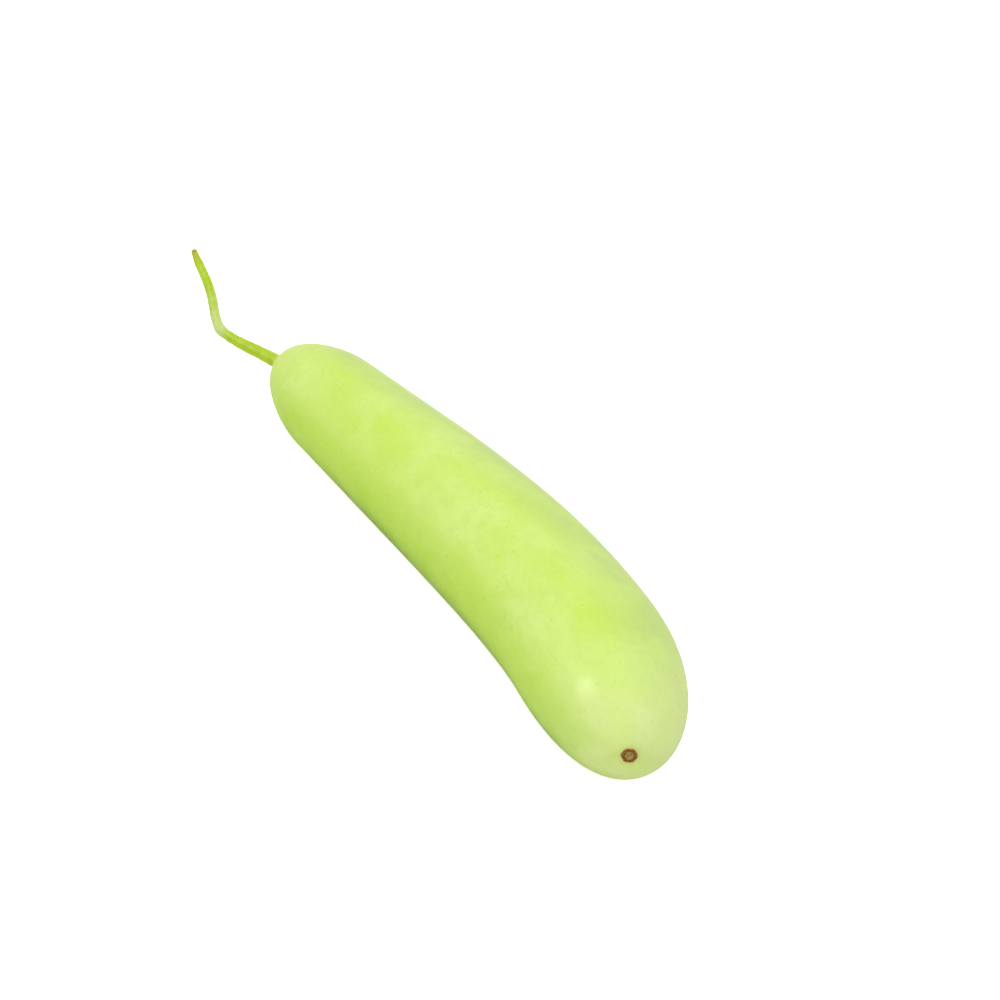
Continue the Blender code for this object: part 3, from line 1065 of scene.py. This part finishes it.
@dataclass
class Stem:
    """The stalk with its ribs, its wrinkled kink and its dried tip, and the down that covers it."""

    form: StemForm
    sides: int = 60
    ribs: int = 5
    rib_share: float = 0.085
    twist: float = 35.0
    dome: float = 0.0013
    plump: float = 0.00022
    flare: float = 0.26
    flare_reach: float = 0.0032
    fibre_height: float = 0.00016
    lump_height: float = 0.0005
    wrinkle_height: float = 0.00010
    wrinkle_spacing: float = 0.0013
    wrinkle_reach: float = 0.0055
    shrivel_height: float = 0.0006
    seed: float = 9.0
    fibre_scale: float = 1500.0
    fibre_stretch: Triple = (0.0026, 0.0026, 0.06)
    lump_scale: float = 160.0
    inner_side: Pair = (-0.1, 0.8)
    wander: float = 2.4
    wander_scale: float = 420.0
    shrivel_reach: Pair = (0.87, 0.99)
    shrivel_stretch: Triple = (0.002, 0.002, 0.25)
    shrivel_scale: float = 1100.0
    shrivel_level: float = 0.55
    rib_power: float = 1.5
    rib_level: float = 0.42
    smooth_root: Pair = (0.0005, 0.008)
    hair_length: float = 0.0007
    hair_radius: float = 0.000035
    hair_density: float = 1700000.0
    hair_lean: float = 0.6
    hair_sizes: Pair = (0.5, 1.25)
    hair_seed: int = 5
    bare_tip: Pair = (0.97, 0.80)
    bare_root: float = 0.002

    def line(self) -> bpy.types.Object:
        """The stem's route as a fine line, with the radius and the twist stored on it."""
        points, radii = self.form.line()
        steps = [0.0] + [(b - a).length for a, b in zip(points, points[1:])]
        run = np.cumsum(steps)
        length = run[-1]
        rounding = np.clip((length - run) / self.dome, 0.0, 1.0)
        rounding = np.sqrt(1.0 - (1.0 - rounding) ** 2)
        root = np.clip(run / self.dome, 0.0, 1.0)
        root = np.sqrt(1.0 - (1.0 - root) ** 2)
        above_skin = np.maximum(run - self.form.socket_depth, 0.0)
        flare = 1.0 + self.flare * np.exp(-((above_skin / self.flare_reach) ** 2))
        share = run / length
        numbers = {
            "girth": list(radii * rounding * root * flare),
            "turn": list(np.radians(self.twist) * share),
            "along": list(share),
            "run": list(run),
        }
        return guide_line("stem_line", points, numbers)

    def tree(self) -> FormTree:
        """Tree that sweeps the ribbed stalk and raises its fibres, wrinkles and shrivelled tip."""
        tree = FormTree("gourd_stem_form")
        sides, seed = tree.size("Sides", self.sides, "Int"), tree.size("Seed", self.seed)
        ribs, rib_share = tree.size("Ribs", float(self.ribs)), tree.size("Rib Share", self.rib_share)
        fibre = tree.size("Fibre Height", self.fibre_height)
        lump = tree.size("Lump Height", self.lump_height)
        wrinkle = tree.size("Wrinkle Height", self.wrinkle_height)
        spacing = tree.size("Wrinkle Spacing", self.wrinkle_spacing)
        reach, plump = tree.size("Wrinkle Reach", self.wrinkle_reach), tree.size("Plump", self.plump)
        kink = tree.size("Kink", self.form.kink_place(), "Vector")
        inward = tree.size("Inward", self.inward(), "Vector")
        shrivel = tree.size("Shrivel Height", self.shrivel_height)
        line = tree.add("GeometryNodeMeshToCurve", {"Mesh": tree.guide}).outputs[0]
        tilted = {"Curve": line, "Tilt": tree.attribute("turn")}
        line = tree.add("GeometryNodeSetCurveTilt", tilted).outputs[0]
        ring = tree.add("GeometryNodeCurvePrimitiveCircle", {"Resolution": sides, "Radius": 1.0}).outputs[0]
        x, y, _ = tree.parts(tree.position())
        ring = tree.stored(tree.stored(ring, "across", x), "up", y)
        wave = tree.math("COSINE", tree.times(tree.math("ARCTAN2", y, x), ribs))
        ring = tree.stored(ring, "rib", tree.spread(tree.math("ADD", tree.times(wave, 0.5), 0.5), 0.0, 1.0))
        stalk = tree.swept(line, ring)
        place, run, girth = tree.position(), tree.attribute("run"), tree.attribute("girth")
        across, up = tree.attribute("across"), tree.attribute("up")
        unrolled = tree.vector("MULTIPLY", tree.joined(across, up, run), self.fibre_stretch)
        fibres = tree.bumps(unrolled, self.fibre_scale, seed, 2.0, fibre)
        lumps = tree.bumps(place, self.lump_scale, seed, 1.0, lump)
        far_off, close_by = tree.times(reach, 2.2), tree.times(reach, 0.4)
        close = tree.between(tree.measure("DISTANCE", place, kink), far_off, close_by)
        inner = tree.between(tree.measure("DOT_PRODUCT", tree.normal(), inward), *self.inner_side)
        uneven = tree.times(tree.clouds(place, self.wander_scale, seed, 1.0), spacing, self.wander)
        phase = tree.math("DIVIDE", tree.times(tree.total(run, uneven), 2.0 * math.pi), spacing)
        wrinkles = tree.times(tree.math("COSINE", phase), close, inner, wrinkle)
        dried = tree.between(tree.attribute("along"), *self.shrivel_reach)
        crumpled = tree.vector("MULTIPLY", tree.joined(across, up, run), self.shrivel_stretch)
        crumples = tree.clouds(crumpled, self.shrivel_scale, seed, 2.0)
        shrunk = tree.times(tree.math("SUBTRACT", crumples, self.shrivel_level), dried, shrivel)
        peaked = tree.math("POWER", tree.attribute("rib"), self.rib_power)
        rise = tree.math("SUBTRACT", peaked, self.rib_level)
        skin_at = self.form.socket_depth
        clear = tree.between(run, skin_at + self.smooth_root[0], skin_at + self.smooth_root[1])
        ridges = tree.times(rise, rib_share, 2.0, girth, clear)
        height = tree.total(plump, ridges, fibres, lumps, wrinkles, shrunk)
        stalk = tree.moved(stalk, tree.scaled(tree.normal(), height))
        tree.close(tree.stored(stalk, "bend", close))
        return tree

    def inward(self) -> Vector:
        """Direction from the kink to the inner side of its bend."""
        points = [place for place, _ in self.form.route()]
        return (0.5 * (points[2] + points[6]) - self.form.kink_place()).normalized()

    def build(self, finish: bpy.types.Material) -> bpy.types.Object:
        """Makes the stalk in its finish."""
        return self.tree().grow(self.line(), "gourd_stem", finish)

    def down_tree(self) -> FormTree:
        """Tree that grows short hairs out of a stalk."""
        tree = FormTree("stem_down_form")
        length, radius = tree.size("Length", self.hair_length), tree.size("Radius", self.hair_radius)
        density, seed = tree.size("Density", self.hair_density), tree.size("Seed", self.hair_seed, "Int")
        fresh = tree.between(tree.attribute("along"), *self.bare_tip)
        skin_at = self.form.socket_depth
        out_of_fruit = tree.between(tree.attribute("run"), skin_at, skin_at + self.bare_root)
        inputs = {"Mesh": tree.guide, "Density": tree.times(density, fresh, out_of_fruit), "Seed": seed}
        spots = tree.add("GeometryNodeDistributePointsOnFaces", inputs)
        least, most = (-self.hair_lean,) * 3, (self.hair_lean,) * 3
        shake = tree.add("FunctionNodeRandomValue", {0: least, 1: most}, data_type="FLOAT_VECTOR")
        lean = tree.vector("ADD", spots.outputs["Normal"], shake.outputs[0])
        turned = tree.add("FunctionNodeAlignRotationToVector", {"Vector": lean}, axis="Z").outputs[0]
        cone_inputs = {"Vertices": 3, "Radius Top": 0.0, "Radius Bottom": radius, "Depth": length}
        hair = tree.add("GeometryNodeMeshCone", cone_inputs, fill_type="TRIANGLE_FAN").outputs[0]
        smallest, largest = self.hair_sizes
        size = tree.add("FunctionNodeRandomValue", {2: smallest, 3: largest}, data_type="FLOAT").outputs[1]
        inputs = {"Points": spots.outputs["Points"], "Instance": hair, "Rotation": turned, "Scale": size}
        tree.close(tree.add("GeometryNodeInstanceOnPoints", inputs).outputs[0])
        return tree

    def build_down(self, stalk: bpy.types.Object, finish: bpy.types.Material) -> bpy.types.Object:
        """Grows the hairs of a stalk as one piece, in their finish."""
        guide = place_in_collection(bpy.data.objects.new("down_guide", stalk.data.copy()))
        return self.down_tree().grow(guide, "stem_down", finish)


@dataclass
class Scar:
    """The dry disc that the flower left: a cracked six-cornered rim round a pitted middle."""

    form: FruitForm
    radius: float = 0.0038
    base: float = 0.0014
    floor_height: float = 0.0007
    rim_height: float = 0.0012
    nub_height: float = 0.0010
    corners: int = 6
    corner_share: float = 0.030
    crack_depth: float = 0.00024
    cracks: int = 14
    rings: int = 56
    sides: int = 168
    roughness: float = 0.00026
    rim_at: float = 0.80
    rim_width: float = 0.15
    nub_at: float = 0.26
    nub_width: float = 0.13
    dent_depth: float = 0.0003
    dent_width: float = 0.12
    edge_drop: float = 0.0004
    edge_from: float = 0.9
    edge_run: float = 0.1
    crack_width: float = 0.16
    crack_start: float = 0.50
    crack_run: float = 0.3
    ring_crack_at: float = 0.58
    ring_crack_wander: float = 0.07
    ring_crack_width: float = 0.05
    streak_at: float = 0.18
    streak_width: float = 0.16
    flakes: int = 20
    flake_size: float = 0.0006
    flake_sizes: Pair = (0.45, 1.0)
    flake_shape: Triple = (1.0, 0.75, 0.13)
    flake_bow: float = 900.0
    flake_lean: float = 0.6
    flake_lift: float = 0.35
    flake_sunk: float = 0.0001
    flake_seed: int = 4

    def reach(self, angle: float) -> float:
        """Radius of the scar's outline at an angle."""
        ragged = noise.noise(Vector((math.cos(angle) * 2.3, math.sin(angle) * 2.3, 4.0)))
        return self.radius * (0.95 + self.corner_share * math.cos(self.corners * angle + 0.6) + 0.06 * ragged)

    def crack(self, share: float, angle: float) -> float:
        """How deep in a crack a point is, from 0 to 1.

        Args:
            share: Distance from the middle as a share of the outline's radius.
            angle: Its angle.

        Returns:
            1 at the bottom of a crack and 0 beside it.
        """
        bent = angle + 0.25 * noise.noise(Vector((share * 4.0, angle * 1.3, 2.0)))
        wave = abs(math.sin(0.5 * self.cracks * bent + 1.7 * noise.noise(Vector((angle, 7.0, 0.0)))))
        radial = max(0.0, 1.0 - wave / self.crack_width)
        radial *= min(max((share - self.crack_start) / self.crack_run, 0.0), 1.0)
        spot = Vector((math.cos(angle) * 2.2, math.sin(angle) * 2.2, 9.0))
        around = abs(share - self.ring_crack_at - self.ring_crack_wander * noise.noise(spot))
        broken = min(max(0.65 + 1.1 * noise.noise(spot * 1.7), 0.0), 1.0)
        return max(radial * 0.8, broken * max(0.0, 1.0 - around / self.ring_crack_width))

    def height(self, share: float, angle: float) -> float:
        """Height of the scar's top above its underside."""
        level = self.floor_height
        level += (self.rim_height - self.floor_height) * bell(share, self.rim_at, self.rim_width)
        level += (self.nub_height - self.floor_height) * bell(share, self.nub_at, self.nub_width)
        level -= self.dent_depth * bell(share, 0.0, self.dent_width)
        level -= self.edge_drop * max(0.0, (share - self.edge_from) / self.edge_run) ** 2
        spot = Vector((share * math.cos(angle), share * math.sin(angle), 0.0))
        rough = noise.fractal(spot * 9.0, 0.6, 2.1, 4) * self.roughness
        return level + rough - self.crack_depth * self.crack(share, angle)

    def build(self, finish: bpy.types.Material) -> bpy.types.Object:
        """Makes the disc as a closed mesh, with its tones stored on it.

        Args:
            finish: Its material.

        Returns:
            The piece.
        """
        frame = self.form.end_frame(End.BLOSSOM, self.base)
        shape = bmesh.new()
        stores = {name: shape.verts.layers.float.new(name) for name in ("ring", "crack", "streak")}

        def point(share: float, angle: float, height: float) -> bmesh.types.BMVert:
            """Adds a point of the disc and stores its tones."""
            reach = self.reach(angle) * share
            x, y = reach * math.cos(angle), reach * math.sin(angle)
            made = shape.verts.new(frame @ Vector((x, y, height)))
            made[stores["ring"]] = share
            made[stores["crack"]] = self.crack(share, angle)
            mottled = 0.6 + 0.4 * noise.noise(Vector((x, y, 0.0)) * 900.0)
            made[stores["streak"]] = bell(y / self.radius, self.streak_at, self.streak_width) * mottled
            return made

        angles = [2.0 * math.pi * side / self.sides for side in range(self.sides)]
        middle = point(0.0, 0.0, self.height(0.0, 0.0))
        loops = []
        for ring in range(1, self.rings + 1):
            share = ring / self.rings
            loops.append([point(share, angle, self.height(share, angle)) for angle in angles])
        loops.append([point(1.0, angle, 0.0) for angle in angles])
        bottom = point(0.0, 0.0, 0.0)
        for side in range(self.sides):
            after = (side + 1) % self.sides
            shape.faces.new((middle, loops[0][side], loops[0][after]))
            shape.faces.new((bottom, loops[-1][after], loops[-1][side]))
            for inner, outer in zip(loops, loops[1:]):
                shape.faces.new((inner[side], outer[side], outer[after], inner[after]))
        mesh = bpy.data.meshes.new("gourd_scar")
        shape.to_mesh(mesh)
        shape.free()
        mesh.shade_smooth()
        mesh.materials.append(finish)
        return place_in_collection(bpy.data.objects.new("gourd_scar", mesh))

    def flake_tree(self) -> FormTree:
        """Tree that sets small papery flakes round the rim, left by the flower's base."""
        frame = self.form.end_frame(End.BLOSSOM, self.base)
        tree = FormTree("scar_flakes_form")
        size, seed = tree.size("Size", self.flake_size), tree.size("Seed", self.flake_seed, "Int")
        out = tree.size("Out", frame.col[2].xyz, "Vector")
        centre = tree.size("Centre", frame.translation, "Vector")
        points = tree.add("GeometryNodeMeshToPoints", {"Mesh": tree.guide}).outputs[0]
        flake = tree.add("GeometryNodeMeshIcoSphere", {"Radius": size, "Subdivisions": 2}).outputs[0]
        flat = tree.add("GeometryNodeTransform", {"Geometry": flake, "Scale": self.flake_shape}).outputs[0]
        bent = tree.vector("MULTIPLY", tree.position(), (0.0, self.flake_bow, 0.0))
        bow = tree.joined(0.0, 0.0, tree.times(tree.measure("DOT_PRODUCT", bent, tree.position()), -0.5))
        flat = tree.moved(flat, bow)
        shake_inputs = {0: (-self.flake_lean,) * 3, 1: (self.flake_lean,) * 3, "Seed": seed}
        shake = tree.add("FunctionNodeRandomValue", shake_inputs, data_type="FLOAT_VECTOR").outputs[0]
        outward = tree.vector("NORMALIZE", tree.vector("SUBTRACT", tree.position(), centre))
        lean = tree.vector("ADD", tree.vector("ADD", outward, tree.scaled(out, self.flake_lift)), shake)
        turned = tree.add("FunctionNodeAlignRotationToVector", {"Vector": lean}, axis="X").outputs[0]
        size_inputs = {2: self.flake_sizes[0], 3: self.flake_sizes[1], "Seed": seed}
        grown = tree.add("FunctionNodeRandomValue", size_inputs, data_type="FLOAT").outputs[1]
        inputs = {"Points": points, "Instance": flat, "Rotation": turned, "Scale": grown}
        tree.close(tree.add("GeometryNodeInstanceOnPoints", inputs).outputs[0])
        return tree

    def build_flakes(self, finish: bpy.types.Material) -> bpy.types.Object:
        """Sets the flakes.

        Args:
            finish: Their material.

        Returns:
            The flakes as one piece.
        """
        frame = self.form.end_frame(End.BLOSSOM, self.base)
        spots = []
        for index in range(self.flakes):
            angle = 2.0 * math.pi * (index + 0.4 * math.sin(7.3 * index)) / self.flakes
            share = 0.90 + 0.07 * math.sin(5.1 * index)
            reach = self.reach(angle) * share
            height = self.height(share, angle) - self.flake_sunk
            spots.append(frame @ Vector((reach * math.cos(angle), reach * math.sin(angle), height)))
        return self.flake_tree().grow(guide_line("flake_places", spots, {}), "scar_flakes", finish)


class Share(Enum):
    """What a lamp's light does: everything, only the gleam on gloss, or only the even light."""

    WHOLE = "whole"
    GLOSS = "gloss"
    FILL = "fill"


@dataclass(frozen=True)
class Lamp:
    """A softbox that faces the fruit: where it stands, its width and height, and its power in watts."""

    name: str
    azimuth: float
    elevation: float
    distance: float
    width: float
    height: float
    power: float
    share: Share = Share.WHOLE

    def place(self, centre: Vector) -> bpy.types.Object:
        """Sets the lamp up, turned to a point.

        Args:
            centre: The point that it faces.

        Returns:
            The lamp's object.
        """
        light = bpy.data.lights.new(self.name, "AREA")
        light.shape = "ELLIPSE"
        light.size = self.width
        light.size_y = self.height
        light.energy = self.power
        around, raised = math.radians(self.azimuth), math.radians(self.elevation)
        level = math.cos(raised)
        away = Vector((level * math.cos(around), level * math.sin(around), math.sin(raised)))
        lamp = place_in_collection(bpy.data.objects.new(self.name, light))
        lamp.location = centre + away * self.distance
        lamp.rotation_euler = away.to_track_quat("Z", "Y").to_euler()
        lamp.visible_diffuse = self.share is not Share.GLOSS
        lamp.visible_glossy = self.share is not Share.FILL
        return lamp


@dataclass
class Studio:
    """Plain pale floor, soft light and the camera at the photograph's angle."""

    look_at: Vector = field(default_factory=lambda: Vector((-0.02524, 0.02076, 0.0396)))
    stand_at: Vector = field(default_factory=lambda: Vector((0.9000, -0.45388, 0.66393)))
    lens: float = 84.0
    sensor: float = 36.0
    floor_size: float = 12.0
    floor_drop: float = 0.0002
    floor_glow: float = 0.7
    floor_tone: float = 0.78
    sky: float = 1.0
    lamps: tuple[Lamp, ...] = (
        Lamp("top_softbox", 60.0, 78.0, 1.8, 1.8, 1.8, 6.5),
        Lamp("right_softbox", 33.0, 54.0, 1.6, 0.45, 0.45, 1.5),
        Lamp("left_softbox", -75.0, 45.0, 1.8, 1.2, 1.2, 4.5, Share.FILL),
        Lamp("left_strip", -115.0, 36.0, 1.6, 0.22, 0.95, 12.0, Share.GLOSS),
    )

    def floor(self, patterns: Patterns) -> bpy.types.Object:
        """Makes the floor. Its glow is seen by the camera alone, and lights nothing.

        Args:
            patterns: The shared node groups.

        Returns:
            The floor's object.
        """
        shape = bmesh.new()
        bmesh.ops.create_grid(shape, x_segments=1, y_segments=1, size=self.floor_size / 2.0)
        mesh = bpy.data.meshes.new("studio_floor")
        shape.to_mesh(mesh)
        shape.free()
        mesh.transform(Matrix.Translation((0.0, 0.0, -self.floor_drop)))
        finish = Finish("studio_floor_finish", patterns)
        seen = finish.graph.add("ShaderNodeLightPath", {}).outputs["Is Camera Ray"]
        glow = finish.graph.times(seen, self.floor_glow)
        finish.set(Base_Color=(self.floor_tone,) * 3, Roughness=0.8, Specular_IOR_Level=0.2)
        finish.set(Emission_Color=(1.0, 1.0, 1.0), Emission_Strength=glow)
        mesh.materials.append(finish.material)
        return place_in_collection(bpy.data.objects.new("studio_floor", mesh))

    def camera(self) -> bpy.types.Object:
        """Makes the scene's camera."""
        data = bpy.data.cameras.new("camera")
        data.lens, data.sensor_width = self.lens, self.sensor
        data.clip_start, data.clip_end = 0.01, 50.0
        camera = place_in_collection(bpy.data.objects.new("camera", data))
        camera.location = self.stand_at
        camera.rotation_euler = (self.stand_at - self.look_at).to_track_quat("Z", "Y").to_euler()
        bpy.context.scene.camera = camera
        return camera

    def build(self, patterns: Patterns) -> None:
        """Sets up the floor, the light and the camera."""
        self.floor(patterns)
        for lamp in self.lamps:
            lamp.place(self.look_at)
        world = bpy.data.worlds.new("studio_sky")
        world.use_nodes = True
        background = world.node_tree.nodes["Background"]
        background.inputs["Color"].default_value = (1.0, 1.0, 1.0, 1.0)
        background.inputs["Strength"].default_value = self.sky
        bpy.context.scene.world = world
        bpy.context.scene.view_settings.view_transform = "Standard"
        self.camera()


def report(piece: bpy.types.Object) -> None:
    """Logs a piece with its size and its number of triangles."""
    piece.data.calc_loop_triangles()
    sides = [round(side * 1000, 1) for side in piece.dimensions]
    log.info("%s: %d triangles, %s mm", piece.name, len(piece.data.loop_triangles), sides)


def hand_over(piece: bpy.types.Object, slot: str, *nodes: str) -> None:
    """Attaches a finished piece to the fruit's body, hides the solids that it stands for, and logs it.

    Args:
        piece: The piece.
        slot: The record's material slot for its finish; not used.
        *nodes: The solids that it stands for.
    """
    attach(piece, BODY)
    if nodes:
        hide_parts(*nodes)
    report(piece)


def main() -> None:
    """Builds the gourd and its studio, and hands each piece over to the frame."""
    logging.basicConfig(level=logging.INFO, format="%(message)s")
    patterns = Patterns()
    fruit_form = FruitForm()
    stem_form = StemForm(fruit_form)
    scar_place = fruit_form.end_frame(End.BLOSSOM, fruit_form.dimple_depth).translation
    skin_finish = SkinFinish(scar_place, stem_form.frame().translation).make(patterns)
    hand_over(Fruit(fruit_form, stem_form).build(skin_finish), "gourd_skin", "fruit")
    stem = Stem(stem_form)
    stalk = stem.build(StemFinish().make(patterns))
    down = stem.build_down(stalk, DownFinish().make(patterns))
    hand_over(stalk, "gourd_stem", "stem")
    hand_over(down, "gourd_stem")
    scar = Scar(fruit_form)
    scar_finish = ScarFinish().make(patterns)
    hand_over(scar.build(scar_finish), "gourd_scar", "blossom_scar")
    hand_over(scar.build_flakes(scar_finish), "gourd_scar")
    Studio().build(patterns)


if __name__ == "__main__":
    main()
